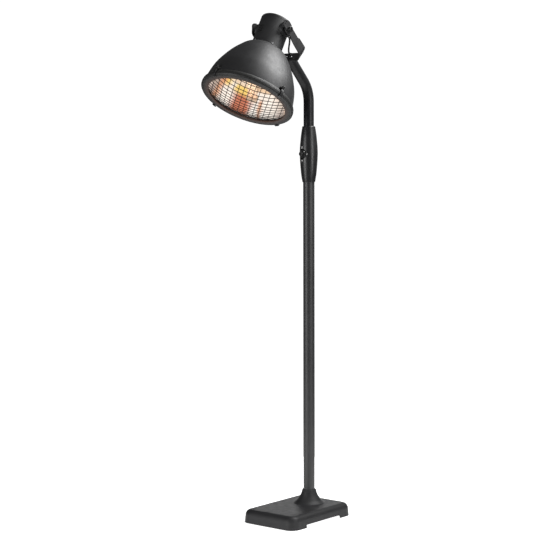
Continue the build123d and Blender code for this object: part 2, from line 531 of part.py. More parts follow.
# reflector bowl, heat shield and lamps
refl_o = [(152.5, 3.4), (147.0, 3.4), (144.2, 6.0), (141.5, 20.0), (136.0, 45.0), (126.0, 72.0), (109.0, 98.0), (84.0, 117.0), (50.0, 127.0), (0.0, 130.0)]
bowl_o = Spline(*[(r, 0, z) for r, z in refl_o[2:]], tangents=[(-0.12, 0, 1), (-1, 0, 0)])
rt = 0.9
refl_i = [(144.9, 6.3), (142.4, 20.2), (136.9, 45.3), (126.8, 72.5), (109.6, 98.7), (84.3, 117.9), (50.2, 127.9), (0.0, 130.9)]
bowl_i = Spline(*[(r, 0, z) for r, z in refl_i], tangents=[(-0.12, 0, 1), (-1, 0, 0)])
refl_face = face_of(bowl_o, Line((0, 0, 130.0), (0, 0, 130.9)), bowl_i,
                    Polyline((144.9, 0, 6.3), (147.2, 0, 4.3), (152.5, 0, 4.3), (152.5, 0, 3.4), (147.0, 0, 3.4), (144.2, 0, 6.0)))
reflector = revolve(refl_face, Axis.Z, 360)
lamp_h = 52.0
lt = Rot(0, 0, LAMP_TURN)
for sx in (-1, 1):
    reflector = reflector - lt * (Pos(sx * 40, 0, 0) * rod(3.0, 100, 140))
stand_a = (0.0, 120.0, 240.0)
for a in stand_a:
    reflector = reflector - Rot(0, 0, a) * (Pos(20, 0, 0) * rod(2.1, 110, 140))
out(at_h(reflector), "reflector")

shield = ring_of([(88.0, 146.0), (86.0, 146.0), (82.0, 151.0), (12.0, 151.0), (12.0, 152.0), (82.6, 152.0), (87.0, 147.0), (88.0, 147.0)])
for a in stand_a:
    shield = shield - Rot(0, 0, a) * (Pos(20, 0, 0) * rod(2.1, 140, 160))
out(at_h(shield), "heat_shield")
stands = []
for a in stand_a:
    s = rod(4.0, 131.2, 150.9) + rod(2.0, 128.5, 153.0) + rod(4.0, 152.1, 155.0)
    s = Rot(0, 0, a) * (Pos(20, 0, 0) * s)
    stands.append(s)
out(group(*[at_h(s) for s in stands]), "shield_posts")

LAMP_L, LAMP_R, LAMP_S = 188.0, 7.0, 9.0
tubes, coils, holders, brackets = [], [], [], []
for sy in (-1, 1):
    tubes.append(lt * (rod_x(LAMP_R, -LAMP_L / 2, LAMP_L / 2, sy * LAMP_S, lamp_h) - rod_x(LAMP_R - 1.1, -LAMP_L, LAMP_L, sy * LAMP_S, lamp_h)))
    coils.append(lt * (rod_x(3.2, -LAMP_L / 2 + 2, LAMP_L / 2 - 2, sy * LAMP_S, lamp_h)))
for sx in (-1, 1):
    x0, x1 = LAMP_L / 2 - 12, LAMP_L / 2 + 10
    hd = block(x0, x1, -20, 20, lamp_h - 11, lamp_h + 11)
    hd = fillet(hd.edges().filter_by(Axis.X), 5.0)
    for sy in (-1, 1):
        hd = hd - rod_x(LAMP_R + 0.15, x0 - 1, x1 - 6, sy * LAMP_S, lamp_h)
    br = block(x0 + 4, x1 - 4, -12, 12, lamp_h + 11.1, lamp_h + 12.6) + block(x1 - 5.5, x1 - 4, -12, 12, lamp_h + 11.1, 120)
    br = br & revolve(face_of(bowl_o, Polyline((0, 0, 130.0), (0, 0, 6.0), (144.2, 0, 6.0))), Axis.Z, 360)
    turn = Rot(0, 0, 0) if sx > 0 else Rot(0, 0, 180)
    holders.append(lt * (turn * hd))
    brackets.append(lt * (turn * br))
out(group(*[at_h(s) for s in tubes]), "lamp_tubes")
out(group(*[at_h(s) for s in coils]), "lamp_filaments")
out(group(*[at_h(s) for s in holders]), "lamp_holders")
out(group(*[at_h(s) for s in brackets]), "lamp_brackets")

# front ring and wire mesh
ring_pts = [(161.2, 13.5), (164.6, 11.6), (167.4, 7), (168.5, 1.5), (168.0, -4), (165.0, -7.6), (160.0, -9.2), (149.0, -9.3), (142.4, -9.2), (140.6, -8.4),
            (140.4, -7.2), (141.6, -6.2), (144.5, -5.9), (144.5, -1.2),
            (146.6, -1.2), (148.0, -5.6), (152.4, -7.2), (159.4, -7.4), (163.6, -6.0), (166.0, -3.0), (166.4, 1.4), (165.4, 6.0), (163.2, 9.8), (160.8, 11.6)]
ring = ring_of(ring_pts)
out(at_h(ring), "front_ring")

dome_r = (MESH_R ** 2 + MESH_BULGE ** 2) / (2 * MESH_BULGE)
dome_c = dome_r - MESH_BULGE
half = int(MESH_R // MESH_PITCH)
grid = None
for q in range(-half, half + 1):
    c = q * MESH_PITCH
    ln = 2 * math.sqrt((MESH_R + 1.5) ** 2 - c ** 2)
    for bar in (Pos(0, c) * Rectangle(ln, MESH_WIRE), Pos(c, 0) * Rectangle(MESH_WIRE, ln)):
        grid = bar if grid is None else grid + bar
bars = Pos(0, 0, -MESH_BULGE - 4.0) * extrude(grid, MESH_BULGE + 5.0)
skin = Pos(0, 0, dome_c) * (Rot(90, 0, 0) * Sphere(dome_r + MESH_WIRE / 2) - Rot(90, 0, 0) * Sphere(dome_r - MESH_WIRE / 2))
mesh = skin & bars
mesh = mesh + tube(152.5, 141.5, -1.0, 1.0)
mesh = Rot(0, 0, MESH_TURN) * mesh
out(at_h(mesh), "grille_mesh")

# hooks that hold the ring, with their brackets and pins
PIN_R, PIN_H = 165.5, 19.0
HOOK_W, HOOK_T = 11.0, 2.4


def strip(points, half_t):
    left, right = [], []
    n = len(points)
    for q in range(n):
        a = points[max(q - 1, 0)]
        b = points[min(q + 1, n - 1)]
        tx, tz = b[0] - a[0], b[1] - a[1]
        ln = math.hypot(tx, tz)
        left.append((points[q][0] - half_t * tz / ln, points[q][1] + half_t * tx / ln))
        right.append((points[q][0] + half_t * tz / ln, points[q][1] - half_t * tx / ln))
    return left + right[::-1]


def hook_shape():
    upper_pts = [(PIN_R, PIN_H + 0.5), (166.8, 23.2), (169.6, 26.2), (173.0, 27.2)]
    lower_pts = [(PIN_R + 0.4, PIN_H - 0.5), (168.6, 14.5), (170.5, 9.0), (171.0, 1.0), (170.6, -5.0), (168.4, -9.6), (164.6, -11.8), (160.5, -11.9)]
    f1 = make_face(Polyline(*[(r, 0, z) for r, z in strip(upper_pts, HOOK_T / 2)], close=True))
    f2 = make_face(Polyline(*[(r, 0, z) for r, z in strip(lower_pts, HOOK_T / 2)], close=True))
    s1 = extrude(f1, amount=HOOK_W / 2, dir=(0, 1, 0), both=True)
    s2 = extrude(f2, amount=HOOK_W / 2, dir=(0, 1, 0), both=True)
    eye = rod_y(3.2, -HOOK_W / 2, HOOK_W / 2, PIN_R, PIN_H)
    return s1 + s2 + eye - rod_y(1.55, -9, 9, PIN_R, PIN_H)


def bracket_shape():
    base = block(150, 161.8, -9.0, 9.0, 14.8, 25.0)
    ears = None
    for sy in (-1, 1):
        ear = block(150, PIN_R, -0.75, 0.75, PIN_H - 3.0, PIN_H + 3.0) + rod_y(3.0, -0.75, 0.75, PIN_R, PIN_H)
        ear = Pos(0, sy * (HOOK_W / 2 + 1.25), 0) * ear
        base = base + ear
    base = base - Pos(0, 0, 0) * shade_core_gap
    return base - rod_y(1.52, -12, 12, PIN_R, PIN_H)


shade_core_gap = revolve(face_of(Spline(*[(r + 0.06, 0, z) for r, z in SHADE], tangents=[(-0.05, 0, 1), (-1, 0, 0.05)]),
                                 Polyline((SHADE[-1][0] + 0.06, 0, SHADE[-1][1]), (0, 0, SHADE[-1][1]), (0, 0, SHADE[0][1]),
                                          (SHADE[0][0] + 0.06, 0, SHADE[0][1]))), Axis.Z, 360)
hook = hook_shape()
bracket = bracket_shape()
pin = rod_y(1.5, -8.4, 8.4, PIN_R, PIN_H)
names = ["hook_right", "hook_front", "hook_left", "hook_back"]
bl, pl = [], []
for q, nm in enumerate(names):
    r = Rot(0, 0, -(HOOK_TURN + 90.0 * q))
    out(at_h(r * hook), nm)
    bl.append(at_h(r * bracket))
    pl.append(at_h(r * pin))
out(group(*bl), "hook_brackets")
out(group(*pl), "hook_pins")
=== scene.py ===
import math

import bpy
from mathutils import Matrix, Vector


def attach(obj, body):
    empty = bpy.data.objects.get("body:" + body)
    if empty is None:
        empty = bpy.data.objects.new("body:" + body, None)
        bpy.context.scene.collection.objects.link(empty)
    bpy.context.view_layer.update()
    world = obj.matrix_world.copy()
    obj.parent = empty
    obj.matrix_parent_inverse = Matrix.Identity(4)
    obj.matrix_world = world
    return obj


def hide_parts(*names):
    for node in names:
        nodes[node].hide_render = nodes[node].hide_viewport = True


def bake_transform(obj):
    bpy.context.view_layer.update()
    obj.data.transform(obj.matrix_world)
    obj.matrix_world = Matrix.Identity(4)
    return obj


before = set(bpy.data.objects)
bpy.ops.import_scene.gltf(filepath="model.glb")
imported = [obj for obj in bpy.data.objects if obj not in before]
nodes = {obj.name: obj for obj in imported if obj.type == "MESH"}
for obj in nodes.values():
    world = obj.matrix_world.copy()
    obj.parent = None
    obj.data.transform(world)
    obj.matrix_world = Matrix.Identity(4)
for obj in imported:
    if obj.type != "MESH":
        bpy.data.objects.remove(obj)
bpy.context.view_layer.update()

# ---------------------------------------------------------------- the CAD's own places, in metres
POLE_Y = 0.19585
PIVOT = Vector((0.0, POLE_Y - 0.2045, 1.7729))
TILT = math.radians(30.2)
RIM_DROP = 0.282
REACH = 0.129
S45 = math.sqrt(0.5)
TUBE_N = 0.0025
TUBE = Vector((0.0, PIVOT.y + (REACH + TUBE_N) * S45, PIVOT.z - (REACH - TUBE_N) * S45))
U = Vector((0.0, math.sin(TILT), math.cos(TILT)))
W = Vector((0.0, math.cos(TILT), -math.sin(TILT)))
X = Vector((1.0, 0.0, 0.0))
T_AX = Vector((0.0, -S45, S45))
N_AX = Vector((0.0, S45, S45))
DIAL_Z = 1.3395
DIAL_YAW = math.radians(-11.5)
GLAND_TURN = math.radians(2.5)
HOUSING = [(23.5, 1237.5), (24.9, 1245.0), (26.9, 1257.0), (28.9, 1272.0), (30.3, 1288.0),
           (31.5, 1303.0), (32.4, 1317.0), (33.0, 1332.0), (33.2, 1347.0), (32.7, 1361.0),
           (31.6, 1376.0), (30.2, 1390.0), (28.8, 1405.0), (26.7, 1420.0), (24.5, 1434.0)]


def on_head(x, y, h):
    """A point of the head from its own axes: x across, y to the back, h along the axis from the rim plane (mm)."""
    return PIVOT + X * (x / 1000) + W * (y / 1000) + U * (h / 1000 - RIM_DROP)


def at_tube(n, t):
    return TUBE + N_AX * (n / 1000) + T_AX * (t / 1000)


def at_neck(back, along):
    side = back * math.sin(GLAND_TURN)
    back = back * math.cos(GLAND_TURN)
    return PIVOT + X * (side / 1000) + W * (back / 1000) + U * (along / 1000)


# ---------------------------------------------------------------- materials
def new_mat(name):
    m = bpy.data.materials.new(name)
    m.use_nodes = True
    nt = m.node_tree
    for n in list(nt.nodes):
        nt.nodes.remove(n)
    out = nt.nodes.new("ShaderNodeOutputMaterial")
    bsdf = nt.nodes.new("ShaderNodeBsdfPrincipled")
    nt.links.new(bsdf.outputs["BSDF"], out.inputs["Surface"])
    tc = nt.nodes.new("ShaderNodeTexCoord")
    return m, nt, bsdf, tc


def noise(nt, tc, scale, detail=4.0, rough=0.55, stretch=None):
    n = nt.nodes.new("ShaderNodeTexNoise")
    n.inputs["Scale"].default_value = scale
    n.inputs["Detail"].default_value = detail
    n.inputs["Roughness"].default_value = rough
    if stretch is None:
        nt.links.new(tc.outputs["Object"], n.inputs["Vector"])
    else:
        mp = nt.nodes.new("ShaderNodeMapping")
        mp.inputs["Scale"].default_value = stretch
        nt.links.new(tc.outputs["Object"], mp.inputs["Vector"])
        nt.links.new(mp.outputs["Vector"], n.inputs["Vector"])
    return n


def ramp(nt, fac, stops):
    r = nt.nodes.new("ShaderNodeValToRGB")
    els = r.color_ramp.elements
    while len(els) < len(stops):
        els.new(0.5)
    for e, (p, c) in zip(els, stops):
        e.position = p
        e.color = (*c, 1.0) if len(c) == 3 else c
    nt.links.new(fac, r.inputs["Fac"])
    return r


def spread(nt, fac, lo, hi, a=0.3, b=0.7):
    r = nt.nodes.new("ShaderNodeMapRange")
    r.inputs["From Min"].default_value = a
    r.inputs["From Max"].default_value = b
    r.inputs["To Min"].default_value = lo
    r.inputs["To Max"].default_value = hi
    nt.links.new(fac, r.inputs["Value"])
    return r


def bump(nt, bsdf, layers):
    last = None
    for height, strength, dist in layers:
        b = nt.nodes.new("ShaderNodeBump")
        b.inputs["Strength"].default_value = strength
        b.inputs["Distance"].default_value = dist
        nt.links.new(height, b.inputs["Height"])
        if last is not None:
            nt.links.new(last.outputs["Normal"], b.inputs["Normal"])
        last = b
    nt.links.new(last.outputs["Normal"], bsdf.inputs["Normal"])


def coated(name, dark, light, r_lo, r_hi, grain, grain_strength, grain_dist, metallic=0.0, spec=0.5, cloud=7.0, speck=420.0):
    """A painted or moulded finish: cloudy tone, fine specks, uneven gloss and a fine grain."""
    m, nt, bsdf, tc = new_mat(name)
    big = noise(nt, tc, cloud, 6.0, 0.6)
    fine = noise(nt, tc, speck, 3.0, 0.6)
    mix = nt.nodes.new("ShaderNodeMath")
    mix.operation = "MULTIPLY_ADD"
    nt.links.new(fine.outputs["Fac"], mix.inputs[0])
    mix.inputs[1].default_value = 0.45
    half = nt.nodes.new("ShaderNodeMath")
    half.operation = "MULTIPLY"
    nt.links.new(big.outputs["Fac"], half.inputs[0])
    half.inputs[1].default_value = 0.55
    nt.links.new(half.outputs[0], mix.inputs[2])
    col = ramp(nt, mix.outputs[0], [(0.36, dark), (0.66, light)])
    nt.links.new(col.outputs["Color"], bsdf.inputs["Base Color"])
    gl = noise(nt, tc, 38.0, 5.0, 0.6)
    rr = spread(nt, gl.outputs["Fac"], r_lo, r_hi)
    nt.links.new(rr.outputs["Result"], bsdf.inputs["Roughness"])
    g = noise(nt, tc, grain, 2.0, 0.5)
    g2 = noise(nt, tc, grain * 0.22, 2.0, 0.5)
    bump(nt, bsdf, [(g2.outputs["Fac"], grain_strength * 0.6, grain_dist * 1.6), (g.outputs["Fac"], grain_strength, grain_dist)])
    bsdf.inputs["Metallic"].default_value = metallic
    bsdf.inputs["Specular IOR Level"].default_value = spec
    return m


def metal(name, dark, light, r_lo, r_hi, stretch=(1, 1, 1), scratch=260.0, strength=0.12):
    m, nt, bsdf, tc = new_mat(name)
    big = noise(nt, tc, 30.0, 5.0, 0.6)
    col = ramp(nt, big.outputs["Fac"], [(0.34, dark), (0.7, light)])
    nt.links.new(col.outputs["Color"], bsdf.inputs["Base Color"])
    s = noise(nt, tc, scratch, 4.0, 0.65, stretch)
    rr = spread(nt, s.outputs["Fac"], r_lo, r_hi)
    nt.links.new(rr.outputs["Result"], bsdf.inputs["Roughness"])
    bump(nt, bsdf, [(s.outputs["Fac"], strength, 0.0002)])
    bsdf.inputs["Metallic"].default_value = 1.0
    return m


M = {}
M["paint"] = coated("satin_black_paint", (0.010, 0.010, 0.011), (0.021, 0.021, 0.022), 0.44, 0.56, 1500.0, 0.10, 0.00012)
# a darker, less glossy copy of the pole's black paint: painted shade on the upper tube
M["tube"] = coated("tube_black_paint", (0.009, 0.009, 0.010), (0.018, 0.018, 0.019), 0.34, 0.46, 1600.0, 0.08, 0.00010, spec=0.25)
M["yoke"] = coated("yoke_black_paint", (0.011, 0.011, 0.012), (0.021, 0.021, 0.022), 0.42, 0.54, 1500.0, 0.10, 0.00012, spec=0.35)
M["pole"] = coated("pole_black_paint", (0.013, 0.013, 0.014), (0.022, 0.022, 0.023), 0.42, 0.50, 1600.0, 0.03, 0.00004, spec=0.6)
M["mould"] = coated("base_black_moulding", (0.008, 0.008, 0.009), (0.017, 0.017, 0.018), 0.46, 0.58, 1100.0, 0.25, 0.00020, spec=0.3)
M["collar"] = coated("collar_black_moulding", (0.010, 0.010, 0.011), (0.021, 0.021, 0.022), 0.46, 0.60, 1100.0, 0.30, 0.00020, spec=0.3)
M["house"] = coated("housing_black_moulding", (0.006, 0.006, 0.007), (0.013, 0.013, 0.014), 0.33, 0.42, 1300.0, 0.05, 0.00006, spec=0.55)
M["plastic"] = coated("knob_black_plastic", (0.006, 0.006, 0.007), (0.014, 0.014, 0.015), 0.36, 0.5, 1300.0, 0.16, 0.00014)
M["rubber"] = coated("black_rubber", (0.008, 0.008, 0.008), (0.018, 0.018, 0.018), 0.62, 0.8, 800.0, 0.3, 0.0002)
M["lead"] = coated("lead_sheath", (0.007, 0.007, 0.007), (0.016, 0.016, 0.016), 0.42, 0.58, 900.0, 0.18, 0.00015)
M["iron"] = coated("cast_iron", (0.05, 0.048, 0.046), (0.11, 0.105, 0.1), 0.62, 0.8, 420.0, 0.6, 0.0006, metallic=0.6)
M["fibre"] = coated("pressed_fibre", (0.06, 0.058, 0.055), (0.13, 0.125, 0.12), 0.7, 0.9, 700.0, 0.4, 0.0003)
M["washer"] = coated("dark_washer", (0.05, 0.05, 0.05), (0.09, 0.09, 0.09), 0.38, 0.5, 1200.0, 0.12, 0.0001, metallic=0.3)
M["ceramic"] = coated("white_ceramic", (0.66, 0.63, 0.57), (0.82, 0.8, 0.75), 0.35, 0.5, 900.0, 0.15, 0.00015)
M["white"] = coated("white_print", (0.72, 0.72, 0.71), (0.86, 0.86, 0.85), 0.4, 0.55, 1500.0, 0.08, 0.00005)
M["steel"] = metal("plain_steel", (0.36, 0.36, 0.37), (0.5, 0.5, 0.51), 0.28, 0.44, (1, 1, 18))
M["zinc"] = metal("zinc_plate", (0.5, 0.5, 0.52), (0.7, 0.7, 0.71), 0.22, 0.38, (4, 4, 4), 180.0)
M["blackbolt"] = coated("blackened_bolt", (0.015, 0.015, 0.016), (0.03, 0.03, 0.031), 0.3, 0.42, 1400.0, 0.1, 0.0001, metallic=0.4)
M["shield"] = metal("shield_sheet", (0.5, 0.5, 0.5), (0.64, 0.64, 0.64), 0.3, 0.42, (1, 1, 1), 120.0)


def lin(c):
    return tuple(v / 12.92 if v <= 0.04045 else ((v + 0.055) / 1.055) ** 2.4 for v in c)


# painted reflections of the glowing lamps, in streaks along the bowl: turn round the head's axis in degrees (0 = right,
# 90 = back, 180 = left), colour
WHITE, GREY, TAN = (0.95, 0.93, 0.90), (0.65, 0.60, 0.57), (0.83, 0.74, 0.66)
RED, ORANGE, YELLOW = (0.78, 0.48, 0.38), (0.82, 0.60, 0.46), (0.96, 0.83, 0.48)
STREAKS_LOW = [(60, GREY), (88, WHITE), (107, WHITE), (112, ORANGE), (117, WHITE), (123, WHITE), (133, RED), (150, RED), (163, WHITE), (176, WHITE), (187, ORANGE), (197, GREY),
               (290, WHITE), (400, TAN)]
STREAKS_HIGH = [(60, TAN), (98, WHITE), (123, WHITE), (138, YELLOW), (158, YELLOW), (166, WHITE), (178, YELLOW), (188, ORANGE), (200, GREY), (290, WHITE), (400, TAN)]


def head_parts(nt, tc):
    """Turn round the head's axis (0..1 for 60..420 degrees) and height over the rim plane in metres, from the object's own coordinates."""
    sub = nt.nodes.new("ShaderNodeVectorMath")
    sub.operation = "SUBTRACT"
    nt.links.new(tc.outputs["Object"], sub.inputs[0])
    sub.inputs[1].default_value = tuple(on_head(0, 0, 0))
    vals = []
    for ax in (X, W, U):
        d = nt.nodes.new("ShaderNodeVectorMath")
        d.operation = "DOT_PRODUCT"
        nt.links.new(sub.outputs[0], d.inputs[0])
        d.inputs[1].default_value = tuple(ax)
        vals.append(d.outputs["Value"])
    at = nt.nodes.new("ShaderNodeMath")
    at.operation = "ARCTAN2"
    nt.links.new(vals[1], at.inputs[0])
    nt.links.new(vals[0], at.inputs[1])
    off = nt.nodes.new("ShaderNodeMath")
    off.operation = "SUBTRACT"
    nt.links.new(at.outputs[0], off.inputs[0])
    off.inputs[1].default_value = math.radians(60.0)
    div = nt.nodes.new("ShaderNodeMath")
    div.operation = "DIVIDE"
    nt.links.new(off.outputs[0], div.inputs[0])
    div.inputs[1].default_value = 2 * math.pi
    fr = nt.nodes.new("ShaderNodeMath")
    fr.operation = "FRACT"
    nt.links.new(div.outputs[0], fr.inputs[0])
    return fr.outputs[0], vals[2]


def reflector_mat():
    """Polished sheet, slightly hammered, with painted reflections of the glowing lamps in warm streaks along the bowl,
    a painted pale crown and painted shade towards the rim; this colour is also given out as a painted glow.
    """
    m, nt, bsdf, tc = new_mat("polished_reflector")
    turn, high = head_parts(nt, tc)
    wob = noise(nt, tc, 45.0, 3.0, 0.6)
    shift = spread(nt, wob.outputs["Fac"], -0.006, 0.006)
    add = nt.nodes.new("ShaderNodeMath")
    nt.links.new(turn, add.inputs[0])
    nt.links.new(shift.outputs["Result"], add.inputs[1])
    # painted reflections: the lamp streaks, one row low in the bowl and one high
    low = ramp(nt, add.outputs[0], [((a - 60.0) / 360.0, lin(c)) for a, c in STREAKS_LOW])
    top = ramp(nt, add.outputs[0], [((a - 60.0) / 360.0, lin(c)) for a, c in STREAKS_HIGH])
    lift = nt.nodes.new("ShaderNodeMapRange")
    lift.interpolation_type = "SMOOTHSTEP"
    lift.inputs["From Min"].default_value = 0.055
    lift.inputs["From Max"].default_value = 0.077
    nt.links.new(high, lift.inputs["Value"])
    mix = nt.nodes.new("ShaderNodeMix")
    mix.data_type = "RGBA"
    nt.links.new(lift.outputs["Result"], mix.inputs["Factor"])
    nt.links.new(low.outputs["Color"], mix.inputs["A"])
    nt.links.new(top.outputs["Color"], mix.inputs["B"])
    # painted reflection: a pale, cloudy crown deep in the bowl
    crown = nt.nodes.new("ShaderNodeMapRange")
    crown.interpolation_type = "SMOOTHSTEP"
    crown.inputs["From Min"].default_value = 0.084
    crown.inputs["From Max"].default_value = 0.096
    nt.links.new(high, crown.inputs["Value"])
    cloud = noise(nt, tc, 34.0, 3.0, 0.6)
    pale = ramp(nt, cloud.outputs["Fac"], [(0.3, lin((0.86, 0.74, 0.60))), (0.7, lin((0.95, 0.88, 0.80)))])
    cap = nt.nodes.new("ShaderNodeMix")
    cap.data_type = "RGBA"
    nt.links.new(crown.outputs["Result"], cap.inputs["Factor"])
    nt.links.new(mix.outputs["Result"], cap.inputs["A"])
    nt.links.new(pale.outputs["Color"], cap.inputs["B"])
    # painted shade: colour and glow fall to two thirds towards the rim plane
    edge = nt.nodes.new("ShaderNodeMapRange")
    edge.interpolation_type = "SMOOTHSTEP"
    edge.inputs["From Min"].default_value = 0.004
    edge.inputs["From Max"].default_value = 0.020
    edge.inputs["To Min"].default_value = 0.66
    edge.inputs["To Max"].default_value = 1.0
    nt.links.new(high, edge.inputs["Value"])
    painted_glow_colour = nt.nodes.new("ShaderNodeVectorMath")
    painted_glow_colour.operation = "SCALE"
    nt.links.new(cap.outputs["Result"], painted_glow_colour.inputs[0])
    nt.links.new(edge.outputs["Result"], painted_glow_colour.inputs["Scale"])
    half = nt.nodes.new("ShaderNodeVectorMath")
    half.operation = "SCALE"
    nt.links.new(painted_glow_colour.outputs[0], half.inputs[0])
    half.inputs["Scale"].default_value = 0.4
    nt.links.new(half.outputs[0], bsdf.inputs["Base Color"])
    # the same painted colour also glows, though the reflector is no lamp
    nt.links.new(painted_glow_colour.outputs[0], bsdf.inputs["Emission Color"])
    bsdf.inputs["Emission Strength"].default_value = REFL_GLOW
    s = noise(nt, tc, 140.0, 4.0, 0.6)
    rr = spread(nt, s.outputs["Fac"], 0.22, 0.34)
    nt.links.new(rr.outputs["Result"], bsdf.inputs["Roughness"])
    dim = nt.nodes.new("ShaderNodeTexVoronoi")
    dim.inputs["Scale"].default_value = 70.0
    nt.links.new(tc.outputs["Object"], dim.inputs["Vector"])
    bump(nt, bsdf, [(dim.outputs["Distance"], 0.08, 0.001), (s.outputs["Fac"], 0.05, 0.0003)])
    bsdf.inputs["Metallic"].default_value = 1.0
    return m


# strength of the reflector's painted glow
REFL_GLOW = 0.9


def ring_mat():
    """The ring's paint, with a painted warm glow on the inner lip, standing in for the light of the hot bowl reflected
    there.
    """
    m = coated("ring_black_paint", (0.011, 0.011, 0.011), (0.022, 0.0215, 0.021), 0.46, 0.58, 1500.0, 0.10, 0.00012, spec=0.42)
    nt = m.node_tree
    bsdf = next(n for n in nt.nodes if n.type == "BSDF_PRINCIPLED")
    tc = next(n for n in nt.nodes if n.type == "TEX_COORD")
    turn, high = head_parts(nt, tc)
    sub = nt.nodes.new("ShaderNodeVectorMath")
    sub.operation = "SUBTRACT"
    nt.links.new(tc.outputs["Object"], sub.inputs[0])
    sub.inputs[1].default_value = tuple(on_head(0, 0, 0))
    off = nt.nodes.new("ShaderNodeVectorMath")
    off.operation = "SCALE"
    off.inputs[0].default_value = tuple(U)
    nt.links.new(high, off.inputs["Scale"])
    flat = nt.nodes.new("ShaderNodeVectorMath")
    flat.operation = "SUBTRACT"
    nt.links.new(sub.outputs[0], flat.inputs[0])
    nt.links.new(off.outputs[0], flat.inputs[1])
    ln = nt.nodes.new("ShaderNodeVectorMath")
    ln.operation = "LENGTH"
    nt.links.new(flat.outputs[0], ln.inputs[0])
    n = noise(nt, tc, 26.0, 4.0, 0.6)
    add = nt.nodes.new("ShaderNodeMath")
    add.operation = "MULTIPLY_ADD"
    nt.links.new(n.outputs["Fac"], add.inputs[0])
    add.inputs[1].default_value = 0.006
    nt.links.new(ln.outputs["Value"], add.inputs[2])
    # painted reflected glow: dim red-brown emission at the inner lip, fading to none towards the outer ring
    painted_lip_glow = ramp(nt, spread(nt, add.outputs[0], 0.0, 1.0, 0.143, 0.161).outputs["Result"],
                [(0.0, (0.040, 0.015, 0.009)), (0.55, (0.022, 0.012, 0.009)), (1.0, (0.0, 0.0, 0.0))])
    nt.links.new(painted_lip_glow.outputs["Color"], bsdf.inputs["Emission Color"])
    bsdf.inputs["Emission Strength"].default_value = 1.0
    return m




def wire_mat():
    m, nt, bsdf, tc = new_mat("mesh_wire")
    big = noise(nt, tc, 22.0, 5.0, 0.6)
    col = ramp(nt, big.outputs["Fac"], [(0.3, (0.007, 0.006, 0.006)), (0.72, (0.018, 0.016, 0.015))])
    nt.links.new(col.outputs["Color"], bsdf.inputs["Base Color"])
    s = noise(nt, tc, 500.0, 3.0, 0.6)
    rr = spread(nt, s.outputs["Fac"], 0.34, 0.5)
    nt.links.new(rr.outputs["Result"], bsdf.inputs["Roughness"])
    bump(nt, bsdf, [(s.outputs["Fac"], 0.15, 0.0001)])
    bsdf.inputs["Specular IOR Level"].default_value = 0.15
    return m


LAMP_DIR = (X * math.cos(math.radians(-54.0)) + W * math.sin(math.radians(-54.0)))


def glow_mat(name, cool, hot, strength, base):
    """Heated element, also used to paint a glow on the lamp holders and brackets: brighter and yellower towards one
    end, with a banded unevenness.
    """
    m, nt, bsdf, tc = new_mat(name)
    dot = nt.nodes.new("ShaderNodeVectorMath")
    dot.operation = "DOT_PRODUCT"
    c = on_head(0, 0, 52)
    sub = nt.nodes.new("ShaderNodeVectorMath")
    sub.operation = "SUBTRACT"
    nt.links.new(tc.outputs["Object"], sub.inputs[0])
    sub.inputs[1].default_value = tuple(c)
    nt.links.new(sub.outputs[0], dot.inputs[0])
    dot.inputs[1].default_value = tuple(LAMP_DIR)
    along = spread(nt, dot.outputs["Value"], 0.0, 1.0, -0.09, 0.09)
    n = noise(nt, tc, 60.0, 3.0, 0.6)
    add = nt.nodes.new("ShaderNodeMath")
    add.operation = "MULTIPLY_ADD"
    nt.links.new(n.outputs["Fac"], add.inputs[0])
    add.inputs[1].default_value = 0.22
    nt.links.new(along.outputs["Result"], add.inputs[2])
    col = ramp(nt, add.outputs[0], [(0.1, cool), (0.95, hot)])
    nt.links.new(col.outputs["Color"], bsdf.inputs["Emission Color"])
    bsdf.inputs["Emission Strength"].default_value = strength
    tone = ramp(nt, n.outputs["Fac"], [(0.3, base), (0.7, tuple(min(1.0, v * 1.3) for v in base))])
    nt.links.new(tone.outputs["Color"], bsdf.inputs["Base Color"])
    bsdf.inputs["Roughness"].default_value = 0.3
    return m, bsdf


M["reflector"] = reflector_mat()
M["ring"] = ring_mat()
M["wire"] = wire_mat()
M["coil"], _ = glow_mat("hot_filament", (0.88, 0.40, 0.16), (0.96, 0.78, 0.42), 0.95, (0.42, 0.26, 0.17))
# painted glow: the lamp holders and brackets glow like the element, though they are no lamp
M["painted_glow_ceramic"], _ = glow_mat("ceramic_with_painted_glow", (0.62, 0.42, 0.28), (0.80, 0.60, 0.32), 0.55, (0.30, 0.25, 0.20))
M["quartz"], q_bsdf = glow_mat("quartz_tube", (0.76, 0.48, 0.32), (0.92, 0.78, 0.55), 0.36, (0.68, 0.58, 0.48))
q_bsdf.inputs["Transmission Weight"].default_value = 0.6
q_bsdf.inputs["Roughness"].default_value = 0.12

